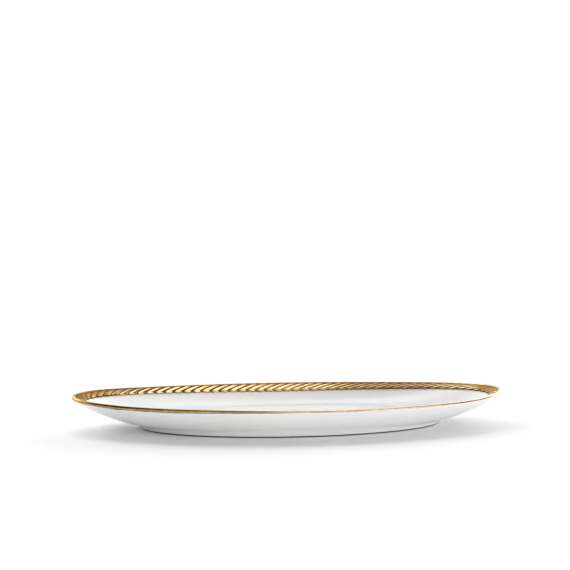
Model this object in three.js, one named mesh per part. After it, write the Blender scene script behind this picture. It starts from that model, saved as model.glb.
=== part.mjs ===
// A long oval china serving platter with a flared wall, a low foot ring and a gilded rope border.
//
// Frame: +Z up, the table is z = 0, the origin is on the table under the middle of the platter,
// +X runs to one tip and +Y to the middle of one long side. Millimetres throughout.
//
// Every horizontal outline is an oval. A "ring" names one of them by its half-length (tip), its
// half-width (side), its height at the sides, and how much higher it stands at the two tips (rise).
// A meridian is the curve from the rim down to the middle in the plane of one oval angle.

import * as THREE from "three";

// ---- Driving dimensions ----

const LENGTH = 533; // rim, tip to tip
const WIDTH = 254; // rim, across the middle
const RIM_HEIGHT = 36.5; // rim above the table at the middle of a long side
const TIP_RISE = 4.8; // how much higher the rim stands at its two tips
const TIP_SHARPNESS = 3.5; // power of the cosine: a larger one starts the rise nearer the tip

const TIP_OVERHANG = 80; // the rim's reach beyond the foot, at a tip
const SIDE_OVERHANG = 32.6; // the same at the middle of a long side
const FOOT_CLEARANCE = 6.6; // the wall's underside above the table, where it leaves the foot
const FOOT_THICKNESS = 6;
const FOOT_FLARE = 4; // the foot's outside spreads by this from the table up to the wall
const FOOT_DRAFT = 0.6; // its inside leans in by this
const BARE_EDGE_HEIGHT = 1.2; // unglazed bottom of the foot
const BARE_EDGE_CHAMFER = 1;

const FLOOR_HEIGHT = 10; // top of the flat floor above the table
const BASE_THICKNESS = 5;
const FLOOR_INSET = 8.5; // the flat floor ends this far inside the foot's outside

const LIP_WIDTH = 3; // gilded rim, across its top
const LIP_DEPTH = 3.9; // gilded rim, down its outside
const LIP_ROUND = 0.7; // drop from the crest to where the rope starts
const LIP_SHOULDER = 0.23; // drop from the crest to the rounding half-way to either side
const LIP_CORNER = 1.4; // drop from the crest to the top of the upright outside
const LIP_DRAFT = 0.4; // the gilded rim leans out by this from its lower edge to its widest

const ROPE_WIDTH = 15; // relief border, measured down the inner slope
const ROPE_THICKNESS = 2.3; // at the top of a strand
const GROOVE_SHARE = 0.5; // thickness left in a groove, as a share of a strand's
const STRAND_PITCH = 13.57; // from strand to strand, along the rim
const STRAND_START = 4.5; // from the +X tip to the first groove, along the rim
const STRAND_LEAD = 27.5; // how far a strand runs along the rim while it crosses the border
const STRAND_TURN = 5; // power of the turn down the slope: a larger one turns nearer the inner end
const SCALLOP = 1.1; // the rounded inner ends of the strands stand out by this beyond the grooves

const SEAM = 0.35; // clearance between neighbouring sub-parts

// ---- Facets ----

const STATIONS = 96; // round the plain ovals
const STATIONS_PER_STRAND = 3;
const WALL_STEPS = 5; // down the wall, inside and outside
const ARC_STEPS = 80; // for measuring a meridian's length
const RIM_ARC_STEPS = 2400; // for measuring the rim's length
const SMALL_ANGLE = 1e-3; // step for the direction along the rim

// The rope's section, from the lip inwards. Crown: share of the width, share of the thickness.
const ROPE_CROWN = [[0, 0.25], [0.26, 0.62], [0.56, 0.96], [0.8, 0.9], [0.96, 0.42]];
const ROPE_BACK = [1, 0.66, 0.33, 0];
const SEAT_STEPS = [0.067, 0.333, 0.667, 1]; // shares of the rope's seat, down the wall

// Shares of a meridian's reach and climb that its two Bezier handles take.
const RIM_HANDLE = { reach: 0.25, climb: 0.41 };
const FOOT_HANDLE = { reach: 0.34, climb: 0.13 };
const FLOOR_HANDLE = { reach: 0.32, climb: 0 };

// ---- Rings that several sub-parts share ----

const rimTip = LENGTH / 2;
const rimSide = WIDTH / 2;
const footTip = rimTip - TIP_OVERHANG;
const footSide = rimSide - SIDE_OVERHANG;
const baseUnderside = FLOOR_HEIGHT - BASE_THICKNESS;

const ropeStart = ring(rimTip - LIP_WIDTH, rimSide - LIP_WIDTH, RIM_HEIGHT - LIP_ROUND, TIP_RISE);
const lipFoot = ring(rimTip - LIP_DRAFT, rimSide - LIP_DRAFT, RIM_HEIGHT - LIP_DEPTH, TIP_RISE);
const floorEdge = ring(footTip - FLOOR_INSET, footSide - FLOOR_INSET, FLOOR_HEIGHT);
const footTop = ring(footTip + FOOT_FLARE, footSide + FOOT_FLARE, FOOT_CLEARANCE);

const porcelain = { color: 0xf3f3f1, roughness: 0.12, metalness: 0 };
const gold = { color: 0xb68d4c, roughness: 0.22, metalness: 1 };
const bareBody = { color: 0xe6dfd2, roughness: 0.75, metalness: 0 };

/** An oval outline; grow() widens it and lifts it. */
function ring(tip, side, height, rise = 0) {
  const grow = (wider, higher = 0) => ring(tip + wider, side + wider, height + higher, rise);
  return { tip, side, height, rise, grow };
}

/** The point of a ring at an oval angle, counted from +X towards +Y. */
function place({ tip, side, height, rise }, angle) {
  const tipShare = Math.abs(Math.cos(angle)) ** TIP_SHARPNESS;
  return new THREE.Vector3(
    tip * Math.cos(angle),
    side * Math.sin(angle),
    height + rise * tipShare,
  );
}

/** A ring part of the way between two others. */
function between(from, to, { reach, climb }) {
  const mix = THREE.MathUtils.lerp;
  return ring(
    mix(from.tip, to.tip, reach),
    mix(from.side, to.side, reach),
    mix(from.height, to.height, climb),
    mix(from.rise, to.rise, climb),
  );
}

/** A Bezier meridian from an upper ring to a lower one; gives the curve at an oval angle. */
function meridian(upper, upperHandle, lower, lowerHandle) {
  const rings = [
    upper,
    between(upper, lower, upperHandle),
    between(lower, upper, lowerHandle),
    lower,
  ];
  return (angle) => {
    const curve = new THREE.CubicBezierCurve3(...rings.map((each) => place(each, angle)));
    curve.arcLengthDivisions = ARC_STEPS;
    return curve;
  };
}

const innerFace = meridian(ropeStart, RIM_HANDLE, floorEdge, FLOOR_HANDLE);
const outerFace = meridian(lipFoot.grow(0, -2 * SEAM), RIM_HANDLE, footTop, FOOT_HANDLE);

/** A point at a distance down the inner face from the rope's start, raised off it by height. */
function onInnerFace(angle, distance, height = 0) {
  const curve = innerFace(angle);
  const share = distance / curve.getLength();
  const point = curve.getPointAt(share);
  const along = innerFace(angle + SMALL_ANGLE).getPointAt(share).sub(point);
  const normal = along.cross(curve.getTangentAt(share)).normalize();
  return point.addScaledVector(normal, height);
}

/** Evenly spaced oval angles for the plain rings. */
function stationAngles() {
  return Array.from({ length: STATIONS }, (_, i) => (2 * Math.PI * i) / STATIONS);
}

/** A closed ring-shaped solid through sections that all have the same number of points. */
function ringSolid(sections) {
  const points = sections[0].length;
  const index = [];
  sections.forEach((_, i) => {
    const here = i * points;
    const next = ((i + 1) % sections.length) * points;
    for (let j = 0; j < points; j += 1) {
      const k = (j + 1) % points;
      index.push(here + j, next + j, here + k);
      index.push(here + k, next + j, next + k);
    }
  });
  const positions = sections.flat().flatMap((point) => point.toArray());
  const geometry = new THREE.BufferGeometry();
  geometry.setAttribute("position", new THREE.Float32BufferAttribute(positions, 3));
  geometry.setIndex(index);
  geometry.computeVertexNormals();
  return geometry;
}

/** A ring-shaped solid whose section is a list of rings. */
function ovalSolid(rings) {
  return ringSolid(stationAngles().map((angle) => rings.map((each) => place(each, angle))));
}

/** The flat oval floor, a plate as thick as the base. */
function wellBase() {
  const outline = new THREE.Shape();
  outline.absellipse(0, 0, floorEdge.tip - SEAM, floorEdge.side - SEAM, 0, 2 * Math.PI);
  const plate = new THREE.ExtrudeGeometry(outline, {
    depth: BASE_THICKNESS,
    bevelEnabled: false,
    curveSegments: STATIONS / 2, // each half of the oval
  });
  return plate.translate(0, 0, baseUnderside);
}

/** The wall: up its outside from the foot, under the lip and the rope, and down its inside. */
function flaredWall() {
  const steps = Array.from({ length: WALL_STEPS + 1 }, (_, i) => i / WALL_STEPS);
  const ropeSeat = ROPE_WIDTH + SEAM;
  const seat = ring(floorEdge.tip, floorEdge.side, baseUnderside);
  const heel = ring(footTop.tip, footTop.side, baseUnderside);
  return ringSolid(
    stationAngles().map((angle) => {
      const outside = outerFace(angle);
      const insideLength = innerFace(angle).getLength();
      const bareSlope = insideLength - ropeSeat;
      return [
        place(seat, angle),
        place(heel, angle),
        ...steps.map((share) => outside.getPointAt(1 - share)),
        ...SEAT_STEPS.map((share) => onInnerFace(angle, share * ropeSeat, -SEAM)),
        ...steps.map((share) => onInnerFace(angle, insideLength - bareSlope * (1 - share))),
      ];
    }),
  );
}

/** The foot ring, from the top of its bare edge up to the underside of the dish. */
function footRing() {
  const bottom = BARE_EDGE_HEIGHT + SEAM;
  const top = baseUnderside - SEAM;
  const inner = -FOOT_THICKNESS;
  return ovalSolid([
    ring(footTip + inner, footSide + inner, bottom),
    ring(footTip, footSide, bottom),
    ring(footTip + FOOT_FLARE, footSide + FOOT_FLARE, top),
    ring(footTip + inner - FOOT_DRAFT, footSide + inner - FOOT_DRAFT, top),
  ]);
}

/** The unglazed edge that the platter stands on, chamfered inside and outside. */
function footBearingBand() {
  const outside = ring(footTip, footSide, 0);
  const inside = outside.grow(-FOOT_THICKNESS);
  return ovalSolid([
    inside.grow(BARE_EDGE_CHAMFER),
    outside.grow(-BARE_EDGE_CHAMFER),
    outside.grow(0, BARE_EDGE_CHAMFER),
    outside.grow(0, BARE_EDGE_HEIGHT),
    inside.grow(0, BARE_EDGE_HEIGHT),
    inside.grow(0, BARE_EDGE_CHAMFER),
  ]);
}

/** The rounded gilded rim, lying over the top and the outside of the wall's edge. */
function gildedLip() {
  const crest = ring(rimTip - LIP_WIDTH / 2, rimSide - LIP_WIDTH / 2, RIM_HEIGHT, TIP_RISE);
  const quarter = LIP_WIDTH / 4;
  return ovalSolid([
    lipFoot,
    ring(rimTip, rimSide, RIM_HEIGHT - LIP_DEPTH / 2, TIP_RISE),
    ring(rimTip, rimSide, RIM_HEIGHT - LIP_CORNER, TIP_RISE),
    crest.grow(quarter, -LIP_SHOULDER),
    crest,
    crest.grow(-quarter, -LIP_SHOULDER),
    ropeStart,
  ]);
}

/** The oval angle at an arc length along the rim. */
function rimAngle(rim, distance) {
  const share = THREE.MathUtils.euclideanModulo(distance / rim.getLength(), 1);
  return 2 * Math.PI * rim.getUtoTmapping(share);
}

/** How far along the rim a strand has run at a distance down the slope. */
function strandLead(distance) {
  const share = distance / ROPE_WIDTH;
  const order = STRAND_TURN + 1;
  return STRAND_LEAD * (order * share - share ** order) / STRAND_TURN;
}

/**
 * The twisted rope in relief. Each section follows a strand across the border: it starts at the
 * lip, rises to the full thickness near its inner end and rounds over there.
 */
function ropeBorder() {
  const rim = new THREE.EllipseCurve(0, 0, rimTip, rimSide);
  rim.arcLengthDivisions = RIM_ARC_STEPS;
  const strands = Math.round(rim.getLength() / STRAND_PITCH);
  const stations = strands * STATIONS_PER_STRAND;
  const startEdge = 2 * SEAM;

  return ringSolid(
    Array.from({ length: stations }, (_, i) => {
      const swell = Math.abs(Math.sin((Math.PI * i) / STATIONS_PER_STRAND));
      const thickness = ROPE_THICKNESS * THREE.MathUtils.lerp(GROOVE_SHARE, 1, swell);
      const reach = ROPE_WIDTH - SCALLOP * (1 - swell) - startEdge;
      const onStrand = (share, height) => {
        const distance = startEdge + share * reach;
        const start = STRAND_START + (i / stations) * rim.getLength();
        const angle = rimAngle(rim, start + strandLead(distance));
        return onInnerFace(angle, distance, height);
      };
      return [
        ...ROPE_CROWN.map(([share, height]) => onStrand(share, height * thickness)),
        ...ROPE_BACK.map((share) => onStrand(share, 0)),
      ];
    }),
  );
}

/** One sub-part as a named mesh with its own material. */
function subPart(name, geometry, finish) {
  const mesh = new THREE.Mesh(geometry, new THREE.MeshStandardMaterial(finish));
  mesh.name = name;
  return mesh;
}

const platter = new THREE.Group();
platter.add(
  subPart("well_base", wellBase(), porcelain),
  subPart("flared_wall", flaredWall(), porcelain),
  subPart("foot_ring", footRing(), porcelain),
  subPart("foot_bearing_band", footBearingBand(), bareBody),
  subPart("rope_border", ropeBorder(), gold),
  subPart("gilded_lip", gildedLip(), gold),
);

export default platter;
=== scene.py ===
"""A long oval china serving platter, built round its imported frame.

The platter is one fired piece of white porcelain. Its looks are made of four surfaces: the
glazed body, the bare edge of its foot ring, the twisted-rope border in gilded relief, and the
gilded lip. All of them share one form: a stack of ovals that grows from the floor to the rim
and lifts at the two tips.
"""

import logging
import math
from dataclasses import dataclass, replace
from enum import Enum
from typing import Any

import bpy
import numpy as np
from bpy.types import Material, Node, NodeSocket, NodeTree, Object
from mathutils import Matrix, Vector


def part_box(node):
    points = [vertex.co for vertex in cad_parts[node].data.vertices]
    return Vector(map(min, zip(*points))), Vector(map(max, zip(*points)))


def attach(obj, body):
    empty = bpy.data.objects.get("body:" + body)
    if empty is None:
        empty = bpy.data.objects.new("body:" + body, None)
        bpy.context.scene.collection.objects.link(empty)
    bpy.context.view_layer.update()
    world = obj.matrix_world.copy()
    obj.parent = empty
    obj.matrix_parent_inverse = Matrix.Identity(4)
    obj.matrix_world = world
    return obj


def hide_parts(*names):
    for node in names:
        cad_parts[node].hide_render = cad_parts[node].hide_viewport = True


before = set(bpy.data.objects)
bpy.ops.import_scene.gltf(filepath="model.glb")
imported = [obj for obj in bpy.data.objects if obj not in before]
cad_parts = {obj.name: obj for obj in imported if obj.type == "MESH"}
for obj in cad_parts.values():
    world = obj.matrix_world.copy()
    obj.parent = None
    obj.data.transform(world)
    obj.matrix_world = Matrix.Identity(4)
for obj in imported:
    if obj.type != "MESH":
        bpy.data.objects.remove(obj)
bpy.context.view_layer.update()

Array = np.ndarray
Pair = tuple[float, float]
Steps = tuple[Pair, ...]  # over a section, each outwards all round and up

MM = 0.001
NOISE_SPAN = (0.3, 0.7)  # where most values of a noise texture lie
TRANSLUCENCY = 0.12  # share of the light that a thin glazed wall scatters
QUADRATURE_SPOTS = 12  # per arc length
NEWTON_STEPS = 6
RIM_SAMPLES = 14401
LOG = logging.getLogger("platter")


# ---- Small helpers ----


def linear(hex_colour: str) -> tuple[float, float, float, float]:
    """Turns an sRGB hex colour into linear RGBA.

    Args:
        hex_colour: Six hex digits, such as "f4f2ee".

    Returns:
        Linear red, green, blue, and an alpha of one.
    """
    share = np.array([int(hex_colour[i : i + 2], 16) / 255 for i in (0, 2, 4)])
    low = share / 12.92
    high = ((share + 0.055) / 1.055) ** 2.4
    return (*np.where(share <= 0.04045, low, high).tolist(), 1.0)


def node(
    tree: NodeTree,
    kind: str,
    settings: dict[str, Any] | None = None,
    inputs: dict[str | int, Any] | None = None,
) -> Node:
    """Adds one node with its settings, and links or sets its inputs.

    Args:
        tree: The node tree that gets the node.
        kind: The node's type name.
        settings: Attributes of the node itself.
        inputs: For each input, by name or index, an output socket to link or a value to set.

    Returns:
        The new node.
    """
    made = tree.nodes.new(kind)
    for name, value in (settings or {}).items():
        setattr(made, name, value)
    for key, value in (inputs or {}).items():
        if isinstance(value, NodeSocket):
            tree.links.new(value, made.inputs[key])
        else:
            made.inputs[key].default_value = value
    return made


def ramp(tree: NodeTree, fac: NodeSocket, stops: list[tuple[float, str]]) -> NodeSocket:
    """Adds a colour ramp over sRGB hex colours.

    Args:
        tree: The node tree that gets the ramp.
        fac: The socket that drives it.
        stops: Pairs of position and hex colour, in rising order.

    Returns:
        The ramp's colour output.
    """
    made = node(tree, "ShaderNodeValToRGB", inputs={"Fac": fac})
    elements = made.color_ramp.elements
    while len(elements) < len(stops):
        elements.new(1.0)
    for element, (position, colour) in zip(elements, stops):
        element.position = position
        element.color = linear(colour)
    return made.outputs["Color"]


def noise(tree: NodeTree, where: NodeSocket, spacing: float, detail: float) -> NodeSocket:
    """Adds a noise texture whose features lie about a spacing apart, in millimetres."""
    inputs = {"Vector": where, "Scale": 1 / (spacing * MM), "Detail": detail}
    return node(tree, "ShaderNodeTexNoise", inputs=inputs).outputs["Fac"]


def mark(tree: NodeTree, name: str) -> NodeSocket:
    """Adds the value of a piece's mark, as given to ring_object()."""
    return node(tree, "ShaderNodeAttribute", {"attribute_name": name}).outputs["Fac"]


def bump(
    tree: NodeTree, height: NodeSocket, depth: float, under: NodeSocket | None = None
) -> NodeSocket:
    """Adds a bump of a real depth in metres, on top of another one if it's given."""
    inputs = {"Height": height, "Distance": depth}
    if under is not None:
        inputs["Normal"] = under
    return node(tree, "ShaderNodeBump", inputs=inputs).outputs["Normal"]


def map_range(tree: NodeTree, value: NodeSocket, start: Pair, end: Pair) -> NodeSocket:
    """Maps a value from one range to another, clamped."""
    inputs = {"Value": value}
    inputs |= {"From Min": start[0], "From Max": start[1], "To Min": end[0], "To Max": end[1]}
    return node(tree, "ShaderNodeMapRange", inputs=inputs).outputs["Result"]


def add(tree: NodeTree, first: NodeSocket | float, second: NodeSocket) -> NodeSocket:
    """Adds a node that adds two values."""
    made = node(tree, "ShaderNodeMath", {"operation": "ADD"}, {0: first, 1: second})
    return made.outputs["Value"]


def mix(
    tree: NodeTree, share: NodeSocket, first: NodeSocket, second: tuple[float, ...]
) -> NodeSocket:
    """Mixes two colours by a share of the second."""
    made = node(tree, "ShaderNodeMix", {"data_type": "RGBA"}, {0: share, 6: first, 7: second})
    return made.outputs[2]


def new_material(name: str) -> tuple[Material, NodeTree]:
    """Makes a material with an empty node tree, and gives both."""
    material = bpy.data.materials.new(name)
    material.use_nodes = True
    material.node_tree.nodes.clear()
    return material, material.node_tree


def principled(tree: NodeTree, inputs: dict[str, Any]) -> Node:
    """Adds a Principled shader with its inputs."""
    return node(tree, "ShaderNodeBsdfPrincipled", inputs=inputs)


def surface_output(tree: NodeTree, shader: Node) -> None:
    """Links a shader to a new material output."""
    node(tree, "ShaderNodeOutputMaterial", inputs={"Surface": shader.outputs[0]})


class Ends(Enum):
    """How a grid of points is closed across its section."""

    LOOP = "the section closes on itself"
    POLES = "the first and last rows each shrink to a point"


def ring_object(
    name: str, rows: Array, ends: Ends, marks: dict[str, Array] | None = None
) -> Object:
    """Makes a mesh object from a grid that goes round the platter.

    Args:
        name: The object's name.
        rows: Points in millimetres, of shape (rows, stations, 3). Each row goes round by rising
            oval angle; the rows go outwards over the top and back inwards underneath.
        ends: How the rows are closed.
        marks: Values from 0 to 1 for each point, by attribute name.

    Returns:
        The object, smooth-shaded, with its place in its mesh.
    """
    count, stations = rows.shape[:2]
    index = np.arange(count * stations).reshape(count, stations)
    ahead = np.roll(index, -1, axis=1)
    if ends is Ends.LOOP:
        low, low_ahead = index, ahead
        high, high_ahead = np.roll(index, -1, axis=0), np.roll(ahead, -1, axis=0)
    else:
        low, low_ahead, high, high_ahead = index[:-1], ahead[:-1], index[1:], ahead[1:]
    quads = np.stack([low, high, high_ahead, low_ahead], axis=-1).reshape(-1, 4)
    points = rows.reshape(-1, 3) * MM
    faces = quads.tolist()
    if ends is Ends.POLES:
        poles = np.stack([rows[0].mean(axis=0), rows[-1].mean(axis=0)]) * MM
        first, last = len(points), len(points) + 1
        points = np.concatenate([points, poles])
        faces += [[first, a, b] for a, b in zip(index[0].tolist(), ahead[0].tolist())]
        faces += [[last, b, a] for a, b in zip(index[-1].tolist(), ahead[-1].tolist())]
    mesh = bpy.data.meshes.new(name)
    mesh.from_pydata(points.tolist(), [], faces)
    mesh.polygons.foreach_set("use_smooth", np.ones(len(faces), dtype=bool))
    for mark, values in (marks or {}).items():
        flat = np.zeros(len(points), dtype=np.float32)
        flat[: count * stations] = values.reshape(-1)
        mesh.attributes.new(mark, "FLOAT", "POINT").data.foreach_set("value", flat)
    mesh.update()
    made = bpy.data.objects.new(name, mesh)
    bpy.context.scene.collection.objects.link(made)
    return made


# ---- The form: ovals and meridians, in millimetres ----


def angles_round(count: int) -> Array:
    """Gives evenly spaced oval angles, once round from the +X tip."""
    return np.linspace(0, 2 * np.pi, count, endpoint=False)


@dataclass(frozen=True)
class Oval:
    """A horizontal outline round the platter that can lift at its two tips.

    Attributes:
        tip: Half-length.
        side: Half-width.
        height: Height above the table at the middle of a long side.
        rise: How much higher it stands at the tips.
        sharpness: Power of the cosine that shapes the rise.
    """

    tip: float
    side: float
    height: float
    rise: float = 0.0
    sharpness: float = 3.5

    def grow(self, wider: float, higher: float = 0.0) -> "Oval":
        """Gives the oval widened all round and lifted."""
        return replace(
            self, tip=self.tip + wider, side=self.side + wider, height=self.height + higher
        )

    def points(self, angle: Array) -> Array:
        """Gives the points (tip cos a, side sin a, height + rise |cos a|^sharpness).

        Args:
            angle: Oval angles of any shape, from +X towards +Y.

        Returns:
            Points, with a last axis of 3.
        """
        lift = self.rise * np.abs(np.cos(angle)) ** self.sharpness
        return np.stack(
            [self.tip * np.cos(angle), self.side * np.sin(angle), self.height + lift], axis=-1
        )

    def along(self, angle: Array) -> Array:
        """Gives the derivative of points() by the angle."""
        cos, sin = np.cos(angle), np.sin(angle)
        lift = -self.rise * self.sharpness * np.abs(cos) ** (self.sharpness - 1) * np.sign(cos)
        return np.stack([-self.tip * sin, self.side * cos, lift * sin], axis=-1)


def between(start: Oval, end: Oval, reach: float, climb: float) -> Oval:
    """Gives the oval a share of the way from start to end, sideways (reach) and up (climb)."""
    return replace(
        start,
        tip=start.tip + reach * (end.tip - start.tip),
        side=start.side + reach * (end.side - start.side),
        height=start.height + climb * (end.height - start.height),
        rise=start.rise + climb * (end.rise - start.rise),
    )


@dataclass(frozen=True)
class Meridian:
    """A surface round the platter: at each oval angle, a cubic Bezier through four ovals.

    Attributes:
        ovals: The start, its handle, the end's handle and the end.
    """

    ovals: tuple[Oval, Oval, Oval, Oval]

    @classmethod
    def spanning(
        cls, start: Oval, start_handle: Pair, end: Oval, end_handle: Pair
    ) -> "Meridian":
        """Builds one from its two ends and their handles' shares of the reach and the climb."""
        handles = between(start, end, *start_handle), between(end, start, *end_handle)
        return cls((start, *handles, end))

    def points(self, angle: Array, share: Array) -> Array:
        """Gives the points sum of B_i(share) oval_i(angle), B_i the cubic Bernstein terms."""
        t = np.asarray(share)[..., None]
        p0, p1, p2, p3 = (oval.points(angle) for oval in self.ovals)
        s = 1 - t
        return s**3 * p0 + 3 * s**2 * t * p1 + 3 * s * t**2 * p2 + t**3 * p3

    def down(self, angle: Array, share: Array) -> Array:
        """Gives the derivative of points() by the share."""
        t = np.asarray(share)[..., None]
        p0, p1, p2, p3 = (oval.points(angle) for oval in self.ovals)
        s = 1 - t
        return 3 * (s**2 * (p1 - p0) + 2 * s * t * (p2 - p1) + t**2 * (p3 - p2))

    def normal(self, angle: Array, share: Array) -> Array:
        """Gives the unit normal, along times down, on the upper side of an inward meridian."""
        t = np.asarray(share)[..., None]
        a0, a1, a2, a3 = (oval.along(angle) for oval in self.ovals)
        s = 1 - t
        along = s**3 * a0 + 3 * s**2 * t * a1 + 3 * s * t**2 * a2 + t**3 * a3
        cross = np.cross(along, self.down(angle, share))
        return cross / np.linalg.norm(cross, axis=-1, keepdims=True)

    def length(self, angle: Array, share: Array) -> Array:
        """Gives the arc length from the start to a share, by Gauss-Legendre quadrature."""
        spots, weights = np.polynomial.legendre.leggauss(QUADRATURE_SPOTS)
        spots, weights = (spots + 1) / 2, weights / 2
        share = np.asarray(share, dtype=float)
        inner = share[..., None] * spots
        speed = np.linalg.norm(self.down(np.asarray(angle)[..., None], inner), axis=-1)
        return share * (speed * weights).sum(axis=-1)

    def share_at(self, angle: Array, distance: Array) -> Array:
        """Gives the share at an arc length from the start, by Newton steps on length()."""
        share = distance / self.length(angle, np.ones_like(distance))
        for _ in range(NEWTON_STEPS):
            speed = np.linalg.norm(self.down(angle, share), axis=-1)
            share = share - (self.length(angle, share) - distance) / speed
        return share

    def raised(self, angle: Array, distance: Array, height: Array) -> Array:
        """Gives the point at a distance down the surface, raised along its normal."""
        share = self.share_at(angle, distance)
        return self.points(angle, share) + height[..., None] * self.normal(angle, share)


@dataclass(frozen=True)
class PlatterForm:
    """The surfaces that every piece of the platter is laid on, in millimetres.

    Attributes:
        rim: The widest outline, at the height of the lip's crest.
        foot: The foot ring's outside, on the table.
        foot_flare: How much the foot widens from the table up to the wall.
        bare_height: Height of the unglazed edge.
        floor: The edge of the flat floor, at its top.
        base_thickness: Thickness of the floor.
        seam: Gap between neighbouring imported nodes, closed here.
        lip_depth: Height of the gilded lip's outside.
        lip_width: Width of the gilded lip across its top.
        lip_round: Drop from the lip's crest to the start of the rope.
        lip_draft: How far the lip's lower edge lies inside its widest outline.
        wall_drop: How far under the lip's lower edge the wall's outside starts.
        clearance: Height at which the wall leaves the foot.
        rim_handle: Shares of the reach and the climb for both faces' handles at the rim.
        floor_handle: The same for the inner face's handle at the floor.
        foot_handle: The same for the outer face's handle at the foot.
    """

    rim: Oval
    foot: Oval
    foot_flare: float
    bare_height: float
    floor: Oval
    base_thickness: float
    seam: float = 0.35
    lip_depth: float = 3.9
    lip_width: float = 3.0
    lip_round: float = 0.7
    lip_draft: float = 0.4
    wall_drop: float = 0.7
    clearance: float = 6.6
    rim_handle: Pair = (0.25, 0.41)
    floor_handle: Pair = (0.32, 0.0)
    foot_handle: Pair = (0.34, 0.13)

    @classmethod
    def from_frame(cls) -> "PlatterForm":
        """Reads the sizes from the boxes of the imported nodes."""
        low = {name: np.array(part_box(name)[0]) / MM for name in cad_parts}
        high = {name: np.array(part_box(name)[1]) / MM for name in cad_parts}
        lip_high = high["gilded_lip"]
        crest = low["gilded_lip"][2] + cls.lip_depth
        band, foot_top, base = high["foot_bearing_band"], high["foot_ring"], high["well_base"]
        return cls(
            rim=Oval(lip_high[0], lip_high[1], crest, lip_high[2] - crest),
            foot=Oval(band[0], band[1], 0.0),
            foot_flare=foot_top[0] - band[0],
            bare_height=band[2],
            floor=Oval(base[0] + cls.seam, base[1] + cls.seam, base[2]),
            base_thickness=base[2] - low["well_base"][2],
        )

    @property
    def rope_start(self) -> Oval:
        """The edge of the inner face, under the lip."""
        return self.rim.grow(-self.lip_width, -self.lip_round)

    @property
    def lip_foot(self) -> Oval:
        """The lip's lower edge on the outside."""
        return self.rim.grow(-self.lip_draft, -self.lip_depth)

    @property
    def foot_top(self) -> Oval:
        """The outline where the wall meets the foot."""
        return self.foot.grow(self.foot_flare, self.clearance)

    @property
    def inner_face(self) -> Meridian:
        """The dished face from the rope's start down to the flat floor."""
        start = self.rope_start
        return Meridian.spanning(start, self.rim_handle, self.floor, self.floor_handle)

    @property
    def outer_face(self) -> Meridian:
        """The wall's outside from under the lip down to the foot."""
        top = self.lip_foot.grow(0, -self.wall_drop)
        return Meridian.spanning(top, self.rim_handle, self.foot_top, self.foot_handle)

    def rim_length(self) -> float:
        """The rim's length in plan."""
        return float(self._rim_arc()[1][-1])

    def rim_angle(self, arc: Array) -> Array:
        """Gives the oval angle at an arc length along the rim, from the +X tip towards +Y."""
        angles, arcs = self._rim_arc()
        turns, rest = np.divmod(arc, arcs[-1])
        return np.interp(rest, arcs, angles) + 2 * np.pi * turns

    def _rim_arc(self) -> tuple[Array, Array]:
        angles = np.linspace(0, 2 * np.pi, RIM_SAMPLES)
        steps = np.diff(self.rim.points(angles)[:, :2], axis=0)
        return angles, np.concatenate([[0], np.cumsum(np.linalg.norm(steps, axis=1))])


def ease(start: Array, corner: Array, end: Array, steps: int) -> Array:
    """Rounds a corner between two rows in steps: (1-u)^2 start + 2u(1-u) corner + u^2 end."""
    u = np.linspace(0, 1, steps)[:, None, None]
    return (1 - u) ** 2 * start + 2 * u * (1 - u) * corner + u**2 * end


# ---- Finishes ----


@dataclass(frozen=True)
class GlazedPorcelain:
    """White hard-paste porcelain under a clear glaze, dipped and fired in a kiln.

    Spacings and depths are in millimetres.

    Attributes:
        body_colour: The fired body through the glaze.
        clouded_colour: The same where the kiln left it a little darker.
        corner_light_colour: Painted light, a whiter body in the corners to lift their shade.
        cloud: Spacing of the kiln's clouding.
        ripple: Spacing of the glaze's slow unevenness.
        ripple_depth: Its depth.
        dimple: Spacing of the glaze's fine unevenness.
        dimple_depth: Its depth.
        gloss: Lowest and highest roughness.
    """

    body_colour: str = "f1f1f0"
    clouded_colour: str = "eeeeed"
    corner_light_colour: str = "fcfcfc"
    cloud: float = 60.0
    ripple: float = 38.0
    ripple_depth: float = 0.05
    dimple: float = 2.4
    dimple_depth: float = 0.0015
    gloss: Pair = (0.17, 0.24)

    def material(self) -> Material:
        """Makes the material."""
        made, tree = new_material("glazed white porcelain, clear glaze fired over a turned body")
        where = node(tree, "ShaderNodeTexCoord").outputs["Object"]
        corner_light = mark(tree, "corner_light")

        # The glaze lies unevenly by a few hundredths of a millimetre, as it does after dipping.
        slow = noise(tree, where, self.ripple, detail=1.0)
        fine = noise(tree, where, self.dimple, detail=2.0)
        surface = bump(tree, slow, self.ripple_depth * MM)
        surface = bump(tree, fine, self.dimple_depth * MM, surface)

        # Painted light: the body is whiter in the two corners where the glaze pools, to lift the
        # shade that falls there. The body itself varies a little from the kiln.
        cloud = noise(tree, where, self.cloud, detail=2.0)
        tones = (self.body_colour, self.clouded_colour)
        tone = ramp(tree, cloud, list(zip(NOISE_SPAN, tones)))
        # Painted light: whiter in the corners by the foot.
        colour = mix(tree, corner_light, tone, linear(self.corner_light_colour))
        gloss = map_range(tree, fine, NOISE_SPAN, self.gloss)
        inputs = {
            "Base Color": colour,
            "Roughness": gloss,
            "IOR": 1.5,
            "Subsurface Weight": TRANSLUCENCY,
            "Subsurface Radius": (1.0, 0.85, 0.7),  # warm light goes furthest
            "Subsurface Scale": 1.2 * MM,
            "Normal": surface,
        }
        surface_output(tree, principled(tree, inputs))
        return made


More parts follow.
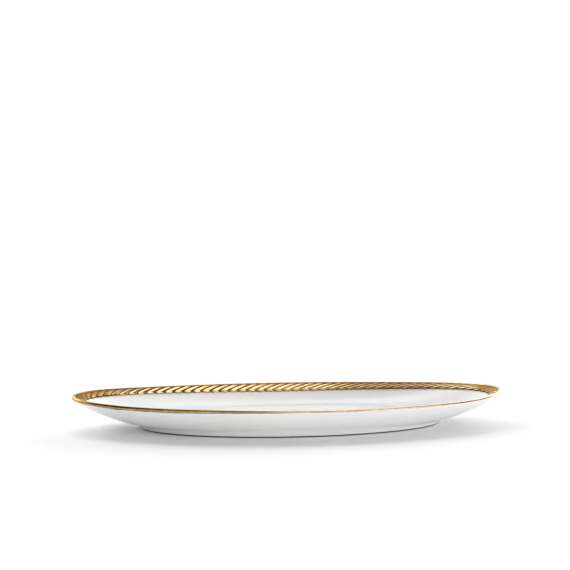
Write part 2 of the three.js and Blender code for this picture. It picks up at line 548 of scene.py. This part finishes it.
@dataclass(frozen=True)
class BurnishedGold:
    """Liquid gold painted on, fired and rubbed bright on the high parts.

    Spacings and depths are in millimetres.

    Attributes:
        bright: Burnished gold.
        rubbed: The same where it's a little dull.
        worn: Thin gold beside the grooves.
        dark: Dirt and tarnished gold in the grooves, and painted shade where gold faces a dark
            room.
        edge: What is left of the glancing reflection under the thin brown film that hands leave.
        uncovered: The white glaze that shows where the piece's "bared" mark is 1.
        stroke: Spacing of the brushed-on unevenness.
        stroke_depth: Its depth.
        stroke_tarnish: How much it adds to and takes from the tarnish.
        grain: Spacing of the fine scratches from rubbing.
        grain_depth: Their depth.
        polish: Roughness where it's bright and where it's dark.
        glaze_gloss: Roughness of the uncovered glaze.
    """

    bright: str = "d4b78c"
    rubbed: str = "b49468"
    worn: str = "84623a"
    dark: str = "593f20"
    edge: str = "ecdcc0"
    uncovered: str = "f1f1f0"
    stroke: float = 7.0
    stroke_depth: float = 0.04
    stroke_tarnish: float = 0.12
    grain: float = 0.7
    grain_depth: float = 0.006
    polish: Pair = (0.16, 0.42)
    glaze_gloss: float = 0.2

    def material(self) -> Material:
        """Makes the material."""
        made, tree = new_material("burnished gilding, liquid gold fired on and rubbed")
        where = node(tree, "ShaderNodeTexCoord").outputs["Object"]

        # Brushed on by hand, so its thickness and its polish vary over some millimetres.
        stroke = noise(tree, where, self.stroke, detail=3.0)
        grain = noise(tree, where, self.grain, detail=3.0)
        spread = (-self.stroke_tarnish, self.stroke_tarnish)
        # The "groove" mark holds dirt and tarnished gold in the grooves, and painted shade on the
        # lip's lower half, on its left, along the rope's right stretch and at both ends.
        tarnish_and_shade = add(tree, mark(tree, "groove"), map_range(tree, stroke, NOISE_SPAN, spread))
        stops = [(0.05, self.bright), (0.3, self.rubbed), (0.6, self.worn), (1.0, self.dark)]
        colour = ramp(tree, tarnish_and_shade, stops)
        surface = bump(tree, stroke, self.stroke_depth * MM)
        surface = bump(tree, grain, self.grain_depth * MM, surface)
        polish = map_range(tree, tarnish_and_shade, (0.0, 1.0), self.polish)
        inputs = {
            "Base Color": colour,
            "Metallic": 1.0,
            "Roughness": polish,
            "Specular Tint": linear(self.edge),
            "Normal": surface,
        }
        gilding = principled(tree, inputs)

        # The same clear glaze as on the body, where the brush left it free.
        inputs = {
            "Base Color": linear(self.uncovered),
            "Roughness": self.glaze_gloss,
            "Subsurface Weight": TRANSLUCENCY,
            "Subsurface Scale": MM,
        }
        glaze = principled(tree, inputs)
        inputs = {0: mark(tree, "bared"), 1: gilding.outputs[0], 2: glaze.outputs[0]}
        surface_output(tree, node(tree, "ShaderNodeMixShader", inputs=inputs))
        return made


@dataclass(frozen=True)
class BarePorcelain:
    """Unglazed porcelain where the foot stood on the kiln shelf, ground smooth, painted dark as
    shade.

    Spacings and depths are in millimetres.

    Attributes:
        colour: Painted shade, near-black, for the shadow in the gap between foot and table.
        darker_shade: A still darker painted shade, in patches.
        mottle: Spacing of those patches, which also vary the roughness.
        grit: Spacing of the grit left by grinding.
        grit_depth: Its depth.
        dullness: Lowest and highest roughness.
    """

    colour: str = "332f2a"
    darker_shade: str = "25211d"
    mottle: float = 9.0
    grit: float = 0.35
    grit_depth: float = 0.02
    dullness: Pair = (0.62, 0.8)

    def material(self) -> Material:
        """Makes the material."""
        made, tree = new_material("bare fired porcelain, ground flat at the foot")
        where = node(tree, "ShaderNodeTexCoord").outputs["Object"]
        mottle = noise(tree, where, self.mottle, detail=4.0)
        grit = noise(tree, where, self.grit, detail=2.0)
        # Painted shade: near-black for the shadow in the gap between the foot and the table.
        colour = ramp(tree, mottle, [(0.35, self.colour), (0.75, self.darker_shade)])
        inputs = {
            "Base Color": colour,
            "Roughness": map_range(tree, mottle, NOISE_SPAN, self.dullness),
            "IOR": 1.5,
            "Normal": bump(tree, grit, self.grit_depth * MM),
        }
        surface_output(tree, principled(tree, inputs))
        return made


# ---- Pieces ----


def soft_step(value: Array, start: float, end: float) -> Array:
    """Gives 0 before the start and 1 beyond the end, with a smooth climb between them."""
    share = np.clip((value - start) / (end - start), 0, 1)
    return share**2 * (3 - 2 * share)


@dataclass(frozen=True)
class Stretch:
    """A stretch of the rim, by the cosine of the oval angle: 1 at the +X tip, -1 at the other.

    Attributes:
        climb: Cosines over which it begins.
        fall: Cosines over which it ends.
    """

    climb: Pair
    fall: Pair

    def share(self, cosine: Array) -> Array:
        """Gives 1 on the stretch and 0 away from it, with soft steps between them."""
        return soft_step(cosine, *self.climb) * soft_step(-cosine, -self.fall[1], -self.fall[0])


@dataclass(frozen=True)
class PaintedTipShade:
    """Painted shade on the gold at the two ends, where it reflects a dark part of the room.

    Attributes:
        dullness: How much painted shade it adds.
        left: Cosines of the oval angle, from -X, over which the dullness climbs.
        right: The same from +X.
    """

    dullness: float = 0.42
    left: Pair = (0.82, 0.98)
    right: Pair = (0.95, 0.995)

    def tarnish_and_shade(self, angle: Array) -> Array:
        """Gives the painted shade that it adds at each oval angle."""
        cosine = np.cos(angle)
        # Painted shade: darker towards both ends.
        at_left = self.dullness * soft_step(-cosine, *self.left)
        return at_left + self.dullness * soft_step(cosine, *self.right)


@dataclass(frozen=True)
class GlazedBody:
    """The dish, its wall and its foot: one continuous glazed surface.

    Attributes:
        form: The platter's surfaces.
        stations: Points round each row.
        tuck: Step from the lip's lower edge to the body's edge, hidden in the lip.
        fillet: Reach of the rounded corner between the foot and the wall, up the wall.
        fillet_end: Step from the foot's outside on the table to that corner's end.
        foot_thickness: Width of the foot ring.
        outer_turn: From the foot's outside at the bare edge, round and in under the foot.
        inner_turn: From the foot's inside at the bare edge, round and up.
        inner_fillet: Size of the rounded corner inside the foot.
        inner_lean: How far the foot's inside leans in where that corner starts and ends.
        corner_lightening: How much painted light whitens the middle of both corners, 0 to 1.
        corner_light_start: Angle of the painted light's sine at a corner's first row.
        face_rows: Rows over each of the two faces.
        fillet_rows: Rows round the corner between the foot and the wall.
        hollow_rows: Rows round the corner inside the foot.
        plate_rows: Rows over the floor, and over the underside.
        plate_start: Their innermost row, as a share of the outermost.
    """

    form: PlatterForm
    stations: int = 512
    tuck: Pair = (0.1, 0.4)
    fillet: float = 14.0
    fillet_end: Pair = (0.05, 2.2)
    foot_thickness: float = 6.0
    outer_turn: Steps = ((-0.06, 0.9), (-0.3, 0.6), (-0.8, 0.48), (-3.0, 0.4))
    inner_turn: Steps = ((0.2, 0.0), (-0.1, 0.08), (-0.1, 0.35))
    inner_fillet: float = 1.6
    inner_lean: Pair = (0.15, 0.2)
    corner_lightening: float = 0.8
    corner_light_start: float = 0.1
    face_rows: int = 49
    fillet_rows: int = 13
    hollow_rows: int = 9
    plate_rows: int = 16
    plate_start: float = 0.02

    def build(self) -> Object:
        """Makes the piece.

        One section runs from the middle of the floor out over the inner face, under the lip,
        down the outer face, round the fillet and the foot, and in along the underside. Going
        round, every row is an oval or a meridian at that oval angle.
        """
        form = self.form
        angle = angles_round(self.stations)
        shares = np.linspace(0, 1, self.face_rows)[:, None]
        inner = form.inner_face.points(angle[None], 1 - shares[1:])
        edge = form.lip_foot.grow(*self.tuck).points(angle)[None]
        outer_length = form.outer_face.length(angle, np.ones_like(angle))
        down = shares * (outer_length - self.fillet)[None]
        wide = np.broadcast_to(angle, down.shape)
        outer = form.outer_face.points(wide, form.outer_face.share_at(wide, down))

        foot_side = form.foot.grow(*self.fillet_end).points(angle)
        corner = form.foot_top.points(angle)
        fillet = ease(outer[-1], corner, foot_side, self.fillet_rows)[1:]

        bottom = form.foot.grow(0.0, form.bare_height)
        inside = bottom.grow(-self.foot_thickness)
        under = form.floor.height - form.base_thickness
        recess = replace(inside, height=under)
        lean_start, lean_end = self.inner_lean
        climb = under - form.bare_height - self.inner_fillet
        foot = [bottom.grow(*step) for step in self.outer_turn]
        foot += [inside.grow(*step) for step in self.inner_turn]
        foot.append(inside.grow(-lean_start, climb))
        foot_rows = np.stack([oval.points(angle) for oval in foot])
        recess_corner = recess.grow(-lean_end).points(angle)
        recess_edge = recess.grow(-self.inner_fillet - lean_end)
        hollow = ease(
            foot_rows[-1], recess_corner, recess_edge.points(angle), self.hollow_rows
        )[1:]

        floor = self._plate(form.floor, angle)
        underside = self._plate(recess_edge, angle)[::-1][1:]
        parts = [floor, inner, edge, outer, fillet, foot_rows, hollow, underside]
        rows = np.concatenate(parts)

        # Painted light: the corners where the glaze pools are whiter, to lift the shade there.
        corner_light = [
            self._corner_light(part) if part is fillet or part is hollow else np.zeros(len(part))
            for part in parts
        ]
        marks = {"corner_light": np.broadcast_to(np.concatenate(corner_light)[:, None], rows.shape[:2])}
        return ring_object("platter_body", rows, Ends.POLES, marks)

    def _corner_light(self, corner: Array) -> Array:
        """Gives the painted light at each row of a corner, as a sine across it."""
        return self.corner_lightening * np.sin(np.linspace(self.corner_light_start, np.pi, len(corner)))

    def _plate(self, edge: Oval, angle: Array) -> Array:
        """Gives rows that fill a flat oval: shares of the edge's tip and side, at its height."""
        shares = np.linspace(self.plate_start, 1, self.plate_rows)[:, None, None]
        scale = np.concatenate([shares, shares, np.ones_like(shares)], axis=-1)
        return edge.points(angle)[None] * scale


@dataclass(frozen=True)
class BareFootEdge:
    """The unglazed edge of the foot that rests on the table.

    Attributes:
        form: The platter's surfaces.
        thickness: Width of the foot ring.
        rounding: Size of its rounded edges.
        rounding_rows: Rows round each of them.
        setback: How far its outside lies inside the glazed foot.
        inner_setback: The same for its inside.
        sunk: How far its top is sunk into the glazed body, at the inside and the outside.
        chamfer: Width and height of the top's slanted edges.
        stations: Points round it.
    """

    form: PlatterForm
    thickness: float = 6.0
    rounding: float = 1.1
    rounding_rows: int = 8
    setback: float = 2.6
    inner_setback: float = 0.04
    sunk: Pair = (0.1, 0.5)
    chamfer: Pair = (0.3, 0.15)
    stations: int = 512

    def build(self) -> Object:
        """Makes the piece: a flat bottom, two rounded edges, and a top sunk in the body."""
        angle = angles_round(self.stations)
        outside = self.form.foot.grow(-self.setback)
        inside = self.form.foot.grow(self.inner_setback - self.thickness)
        low_top, high_top = (self.form.bare_height + sunk for sunk in self.sunk)
        r = self.rounding
        rounds = [
            (outside.grow(0, r), outside, outside.grow(-r)),
            (inside.grow(r), inside, inside.grow(0, r)),
        ]
        eased = [
            ease(*(oval.points(angle) for oval in ovals), self.rounding_rows) for ovals in rounds
        ]
        side = outside.grow(0, high_top).points(angle)[None]
        across, up = self.chamfer
        top = [
            inside.grow(0, low_top),
            inside.grow(across, low_top + up),
            outside.grow(-across, high_top + up),
        ]
        tops = np.stack([oval.points(angle) for oval in top])
        return ring_object("bare_foot_edge", np.concatenate([side, *eased, tops]), Ends.LOOP)


@dataclass(frozen=True)
class RopeTarnishAndShade:
    """Where the rope's gold is dark: 0 where bright, 1 in the grooves; partly painted shade.

    Attributes:
        groove: Added in the grooves, less towards the middle of a strand.
        heels: Added at the lip, each with the share of the width over which it fades.
        toe: Added at the inner ends, with the share over which it climbs.
        side: Painted shade along both sides on the right, where the gold faces a dark room.
        shade_stretch: Where that is.
        tip_shade: The painted shade at the two ends.
    """

    groove: float = 1.1
    heels: tuple[Pair, ...] = ((0.42, 0.6), (0.5, 0.2))
    toe: Pair = (0.35, 0.06)
    side: float = 0.25
    shade_stretch: Stretch = Stretch((0.15, 0.45), (0.7, 0.88))
    tip_shade: PaintedTipShade = PaintedTipShade()

    def across(self, share: Array, swell: Array) -> Array:
        """Gives the darkening over the strands.

        Args:
            share: Shares of the border's width, as a column.
            swell: Each station's height over the grooves, from 0 to 1.

        Returns:
            Values of shape (shares, stations).
        """
        depth = np.clip(self.groove * (1 - swell), 0, 1)
        heel = sum(amount * np.clip(1 - share / fade, 0, 1) for amount, fade in self.heels)
        amount, climb = self.toe
        toe = amount * np.clip((share - (1 - climb)) / climb, 0, 1)
        return depth[None] + heel + toe

    def around(self, angle: Array) -> Array:
        """Gives the painted shade added to it at each oval angle: on the right and at both ends."""
        # Painted shade along a stretch on the right, and at the two ends.
        side = self.side * self.shade_stretch.share(np.cos(angle))
        return self.tip_shade.tarnish_and_shade(angle) + side


@dataclass(frozen=True)
class RopeBorder:
    """The twisted rope in gilded relief on the inner slope, below the lip.

    Attributes:
        form: The platter's surfaces.
        width: Width of the border, down the slope.
        thickness: Height of a strand above the slope.
        groove_share: Height left in a groove, as a share of a strand's.
        pitch: From strand to strand, along the rim.
        start: From the +X tip to the first groove, along the rim.
        lead: How far a strand runs along the rim while it crosses the border.
        turn: Power of its turn down the slope near the inner end.
        swell: Inner and outer power of a strand's rounded section.
        scallop: How far the strands' rounded ends stand out beyond the grooves.
        scallop_power: Power of their outline.
        crest: Where the rope is thickest, as a share of the width.
        lip_share: Its height at the lip, as a share of the thickness.
        nose: Inner and outer power of its rounding beyond the crest.
        inset: From the start of the slope to the rope's first row.
        root: How far its hidden underside is sunk into the body.
        climb_rows: Rows from the lip to the crest.
        nose_rows: Rows from the crest to the inner end.
        strand_stations: Points across each strand.
        tarnish_and_shade: Where its gold is dark, from dirt and from painted shade.
    """

    form: PlatterForm
    width: float = 15.0
    thickness: float = 2.3
    groove_share: float = 0.34
    pitch: float = 13.57
    start: float = 4.5
    lead: float = 27.5
    turn: float = 5.0
    swell: Pair = (2.4, 0.6)
    scallop: float = 1.5
    scallop_power: float = 1.5
    crest: float = 0.86
    lip_share: float = 0.12
    nose: Pair = (2.8, 0.55)
    inset: float = 0.25
    root: float = 0.3
    climb_rows: int = 17
    nose_rows: int = 16
    strand_stations: int = 22
    tarnish_and_shade: RopeTarnishAndShade = RopeTarnishAndShade()

    def build(self) -> Object:
        """Makes the piece.

        A strand is a line of constant station: at a share u of the width it stands at the rim's
        arc length start + station + lead (turn+1) (u - u^(turn+1)/(turn+1)) / turn. Across a
        strand, x from -1 to 1, the height is thickness * envelope(u) * (g + (1-g) swell(x)),
        swell = (1 - |x|^p)^q with the two powers of swell, and g the groove share.
        """
        strands = round(self.form.rim_length() / self.pitch)
        stations = strands * self.strand_stations
        step = np.arange(stations) / self.strand_stations
        x = 2 * (step % 1) - 1
        inner_power, outer_power = self.swell
        swell = (1 - np.abs(x) ** inner_power) ** outer_power

        climb = np.linspace(0, self.crest, self.climb_rows)
        nose = np.linspace(self.crest, 1, self.nose_rows)[1:]
        share = np.concatenate([climb, nose])[:, None]
        reach = self.width - self.scallop * (1 - swell) ** self.scallop_power
        distance = self.inset + share * (reach[None] - self.inset)
        groove = self.groove_share + (1 - self.groove_share) * swell
        height = self.thickness * self._envelope(share) * groove[None]

        # Hidden rows close it underneath: under the first, the last, and the crest.
        sunk = np.full_like(height[:1], -self.root)
        under_crest = distance[len(climb) - 1 : len(climb)]
        distance = np.concatenate([distance[:1], distance, distance[-1:], under_crest])
        height = np.concatenate([sunk, height, sunk, sunk])
        tarnish_and_shade = self.tarnish_and_shade.across(share, swell)
        tarnish_and_shade = np.concatenate([tarnish_and_shade[:1], tarnish_and_shade, tarnish_and_shade[-1:], tarnish_and_shade[-1:]])

        arc = self.start + step[None] * self.form.rim_length() / strands + self._lead_at(distance)
        angle = self.form.rim_angle(arc)
        rows = self.form.inner_face.raised(angle, distance, height)[::-1]
        # Painted shade on the right and at both ends, added to the darkening over the strands.
        tarnish_and_shade = np.clip(tarnish_and_shade + self.tarnish_and_shade.around(angle), 0, 1)[::-1]
        return ring_object("rope_relief", rows, Ends.LOOP, {"groove": tarnish_and_shade})

    def _lead_at(self, distance: Array) -> Array:
        """Gives how far a strand has run along the rim at a distance down the slope."""
        share = distance / self.width
        order = self.turn + 1
        return self.lead * (order * share - share**order) / self.turn

    def _envelope(self, share: Array) -> Array:
        """Gives the rope's height across the border as a share of its thickness.

        It climbs as a quarter sine from the lip to the crest, and rounds over beyond it as
        (1 - v^p)^q, with v from the crest to the inner end and the two powers of nose.
        """
        quarter = np.sin(np.pi / 2 * np.minimum(share / self.crest, 1))
        climb = self.lip_share + (1 - self.lip_share) * quarter
        beyond = np.clip((share - self.crest) / (1 - self.crest), 0, 1)
        inner_power, outer_power = self.nose
        return climb * (1 - beyond**inner_power) ** outer_power


@dataclass(frozen=True)
class GildedLip:
    """The rounded gilded rim, uneven where it was rubbed and where the gold ran.

    Attributes:
        form: The platter's surfaces.
        belly: Depth below the crest at which it is widest.
        waver: How far the painted lower edge wanders.
        waves: Size, count round the rim and phase of each sine of that wandering.
        near_side: Sines of the angle, from -Y, over which the near side's rubbing climbs.
        worn_down: How much lower the crest is where it's rubbed flattest.
        worn_stretch: Where that is, on the near side.
        overrun: How much further down the gold runs where it was brushed on thickest.
        overrun_stretch: Where that is, with +X and -X exchanged.
        narrow: Width of the gold where the brushed band is narrowest.
        narrowing: Cosines of the angle over which the band narrows.
        baring: Cosines over which the glaze below it starts to show.
        brush_edge: Half the width of the gold's soft lower edge.
        tarnish_and_shade: Everywhere, and painted shade over the lower half and on the left.
        tip_shade_share: Share of the painted tip shade that it takes.
        tip_shade: The painted shade at the two ends.
        stations: Points round it.
        steps: Points round its section.
    """

    form: PlatterForm
    belly: float = 3.0
    waver: float = 0.25
    waves: tuple[tuple[float, int, float], ...] = ((1.0, 17, 0.4), (0.7, 41, 2.1), (0.5, 73, 0.0))
    near_side: Pair = (-0.05, 0.25)
    worn_down: float = 1.9
    worn_stretch: Stretch = Stretch((-0.5, 0.25), (0.8, 0.995))
    overrun: float = 1.2
    overrun_stretch: Stretch = Stretch((0.1, 0.7), (0.8, 0.995))
    narrow: float = 1.5
    narrowing: Pair = (0.3, 0.65)
    baring: Pair = (0.25, 0.35)
    brush_edge: float = 0.15
    tarnish_and_shade: tuple[float, float, float] = (0.12, 0.5, 0.12)
    tip_shade_share: float = 0.6
    tip_shade: PaintedTipShade = PaintedTipShade()
    stations: int = 1024
    steps: int = 48

    def build(self) -> Object:
        """Makes the piece.

        Its section is x = half width * cos t, z = height * sin t above the belly and
        depth * sin t below it. The height falls by worn_down * flat and the depth grows by
        overrun * thick, both smooth steps over the cosine of the oval angle. The gold's lower
        edge wanders by a sum of sines, and rises on the near side where the band is narrow.
        """
        form = self.form
        angle = angles_round(self.stations)[None]
        section = angles_round(self.steps)[:, None]
        across, up = np.cos(section), np.sin(section)
        above, below = np.clip(up, 0, 1), np.clip(-up, 0, 1)
        along = np.cos(angle)
        near = soft_step(-np.sin(angle), *self.near_side)
        flat = near * self.worn_stretch.share(along)
        thick = self.overrun_stretch.share(-along)
        wander = sum(size * np.sin(count * angle + phase) for size, count, phase in self.waves)

        crest = self.belly - self.worn_down * flat
        drop = form.lip_depth - self.belly + self.waver / 2 * wander + self.overrun * thick
        base = form.rim.grow(-form.lip_width / 2, -self.belly).points(angle)
        outward = np.stack([np.cos(angle), np.sin(angle), np.zeros_like(angle)], axis=-1)
        rows = base + (form.lip_width / 2 * across)[..., None] * outward
        rows[..., 2] += crest * above - drop * below

        # Painted shade: darker over the lip's lower half, which faces down, on the left stretch and
        # at both ends, where the gold faces a dark part of the room.
        everywhere, lower, left_shade = self.tarnish_and_shade
        tip_darkening = self.tip_shade_share * self.tip_shade.tarnish_and_shade(angle)
        lip_tarnish_and_shade = np.clip(everywhere + lower * np.sqrt(below) + left_shade * thick + tip_darkening, 0, 1)
        narrowing = (form.lip_depth - self.narrow) * soft_step(along, *self.narrowing)
        depth = np.where(across > 0, crest * (1 - above) + drop * below, 0.0)
        past_gold = depth - (form.lip_depth - narrowing)
        bared = near * soft_step(past_gold, -self.brush_edge, self.brush_edge)
        marks = {"groove": lip_tarnish_and_shade[::-1], "bared": (bared * soft_step(along, *self.baring))[::-1]}
        return ring_object("gold_lip", rows[::-1], Ends.LOOP, marks)


# ---- Studio and camera ----


@dataclass(frozen=True)
class Glow:
    """One soft light of the room, far away: a round patch of the surroundings.

    Attributes:
        azimuth: Degrees from +X towards +Y.
        elevation: Degrees above the table.
        spread: Degrees from its middle to where it has faded out.
        strength: Brightness in the middle.
        core: Degrees from its middle over which it stays at full brightness.
    """

    azimuth: float
    elevation: float
    spread: float
    strength: float
    core: float = 0.0

    def brightness(self, tree: NodeTree, way: NodeSocket) -> NodeSocket:
        """Adds the patch's brightness: a smooth step over the cosine of the angle to its middle."""
        turn, tilt = math.radians(self.azimuth), math.radians(self.elevation)
        middle = (math.cos(tilt) * math.cos(turn), math.cos(tilt) * math.sin(turn), math.sin(tilt))
        product = {"operation": "DOT_PRODUCT"}
        facing = node(tree, "ShaderNodeVectorMath", product, {0: way, 1: middle})
        inputs = {
            "Value": facing.outputs["Value"],
            "From Min": math.cos(math.radians(self.spread)),
            "From Max": math.cos(math.radians(self.core)),
            "To Max": self.strength,
        }
        step = node(tree, "ShaderNodeMapRange", {"interpolation_type": "SMOOTHSTEP"}, inputs)
        return step.outputs["Result"]


@dataclass(frozen=True)
class Studio:
    """A plain white table in a dim room with a white backdrop and soft lights.

    The lights and the dim room only light the platter and show in its gloss. Seen directly, the
    surroundings are plain white all the way round.

    Attributes:
        floor_half: Half the table's size, in metres.
        floor_colour: The table.
        ambient: Brightness of the room between the lights.
        lights: The backdrop and the lights.
    """

    floor_half: float = 8.0
    floor_colour: str = "fbfbfb"
    ambient: float = 0.02
    lights: tuple[Glow, ...] = (
        Glow(81.4, 0.0, 48.0, 1.04, core=28.0),  # the backdrop
        Glow(0.0, 75.0, 22.0, 2.15),  # overhead, on the right
        Glow(75.0, 62.0, 16.0, 2.9),  # high, behind
        Glow(105.0, 62.0, 16.0, 1.0),
        Glow(90.0, 52.0, 24.0, 0.9),
        Glow(135.0, 52.0, 24.0, 3.3),  # behind on the left
        Glow(45.0, 12.0, 40.0, 3.6),  # low, behind on both sides
        Glow(135.0, 12.0, 40.0, 2.75),
        Glow(315.0, 5.0, 25.0, 6.6),  # low, in front on the right
        Glow(285.0, 5.0, 25.0, 2.65),
        Glow(240.0, 5.0, 30.0, 0.6),  # weak fills in front
        Glow(262.0, 48.0, 35.0, 0.25),
    )

    def build(self) -> None:
        """Makes the table and the surroundings."""
        half = self.floor_half
        mesh = bpy.data.meshes.new("table")
        corners = [(-half, -half, 0.0), (half, -half, 0.0), (half, half, 0.0), (-half, half, 0.0)]
        mesh.from_pydata(corners, [], [(0, 1, 2, 3)])
        table = bpy.data.objects.new("table", mesh)
        bpy.context.scene.collection.objects.link(table)
        material, tree = new_material("matt white table")
        inputs = {"Base Color": linear(self.floor_colour), "Roughness": 0.9}
        surface_output(tree, principled(tree, inputs | {"Specular IOR Level": 0.0}))
        mesh.materials.append(material)
        self._surroundings()

    def _surroundings(self) -> None:
        """Makes the world: the lights' sum over a dim ambient, and plain white to the camera."""
        world = bpy.data.worlds.new("soft studio")
        world.use_nodes = True
        bpy.context.scene.world = world
        tree = world.node_tree
        tree.nodes.clear()
        way = node(tree, "ShaderNodeTexCoord").outputs["Generated"]
        total: NodeSocket | float = self.ambient
        for light in self.lights:
            total = add(tree, total, light.brightness(tree, way))
        # Seen directly, they are as bright as the backdrop all the way round.
        seen = node(tree, "ShaderNodeLightPath").outputs["Is Camera Ray"]
        shown = {0: seen, 2: total, 3: self.lights[0].strength}
        strength = node(tree, "ShaderNodeMix", {"data_type": "FLOAT"}, shown).outputs[0]
        inputs = {"Color": linear("ffffff"), "Strength": strength}
        sky = node(tree, "ShaderNodeBackground", inputs=inputs)
        node(tree, "ShaderNodeOutputWorld", inputs={"Surface": sky.outputs[0]})


@dataclass(frozen=True)
class Viewpoint:
    """A level camera with a rising-front view of the platter.

    Attributes:
        distance: From the platter's middle, over the table, in metres.
        height: Above the table, in metres.
        turn: Degrees from looking along +Y, towards +X.
        lens: Focal length, in millimetres.
        sensor: Width of the sensor, in millimetres.
        shift: Sideways shift, as a share of the sensor's width.
    """

    distance: float = 1.011
    height: float = 0.172
    turn: float = 8.6
    lens: float = 51.47
    sensor: float = 36.0
    shift: float = -0.0144

    def build(self) -> None:
        """Makes the camera and gives it to the scene."""
        turn = math.radians(self.turn)
        data = bpy.data.cameras.new("view")
        data.sensor_width = self.sensor
        data.lens = self.lens
        data.shift_x = self.shift
        camera = bpy.data.objects.new("view", data)
        back, aside = self.distance * math.cos(turn), self.distance * math.sin(turn)
        camera.location = (-aside, -back, self.height)
        camera.rotation_euler = (math.pi / 2, 0.0, -turn)
        bpy.context.scene.collection.objects.link(camera)
        bpy.context.scene.camera = camera


# ---- The platter ----


def fit(
    piece: Object, material: Material, nodes: tuple[str, ...]
) -> None:
    """Finishes a piece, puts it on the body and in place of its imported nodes.

    Args:
        piece: The piece.
        material: What it's made of.
        nodes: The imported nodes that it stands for.
    """
    piece.data.materials.append(material)
    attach(piece, "root")
    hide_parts(*nodes)
    LOG.info("%s: %d faces", piece.name, len(piece.data.polygons))


def main() -> None:
    """Builds the platter's pieces, the studio and the camera."""
    logging.basicConfig(level=logging.INFO)
    form = PlatterForm.from_frame()
    porcelain = GlazedPorcelain().material()
    gold = BurnishedGold().material()
    bare = BarePorcelain().material()

    body = GlazedBody(form).build()
    fit(body, porcelain, ("well_base", "flared_wall", "foot_ring"))
    fit(BareFootEdge(form).build(), bare, ("foot_bearing_band",))
    fit(RopeBorder(form).build(), gold, ("rope_border",))
    fit(GildedLip(form).build(), gold, ("gilded_lip",))

    Studio().build()
    Viewpoint().build()
    bpy.context.scene.view_settings.view_transform = "Standard"


if __name__ == "__main__":
    main()
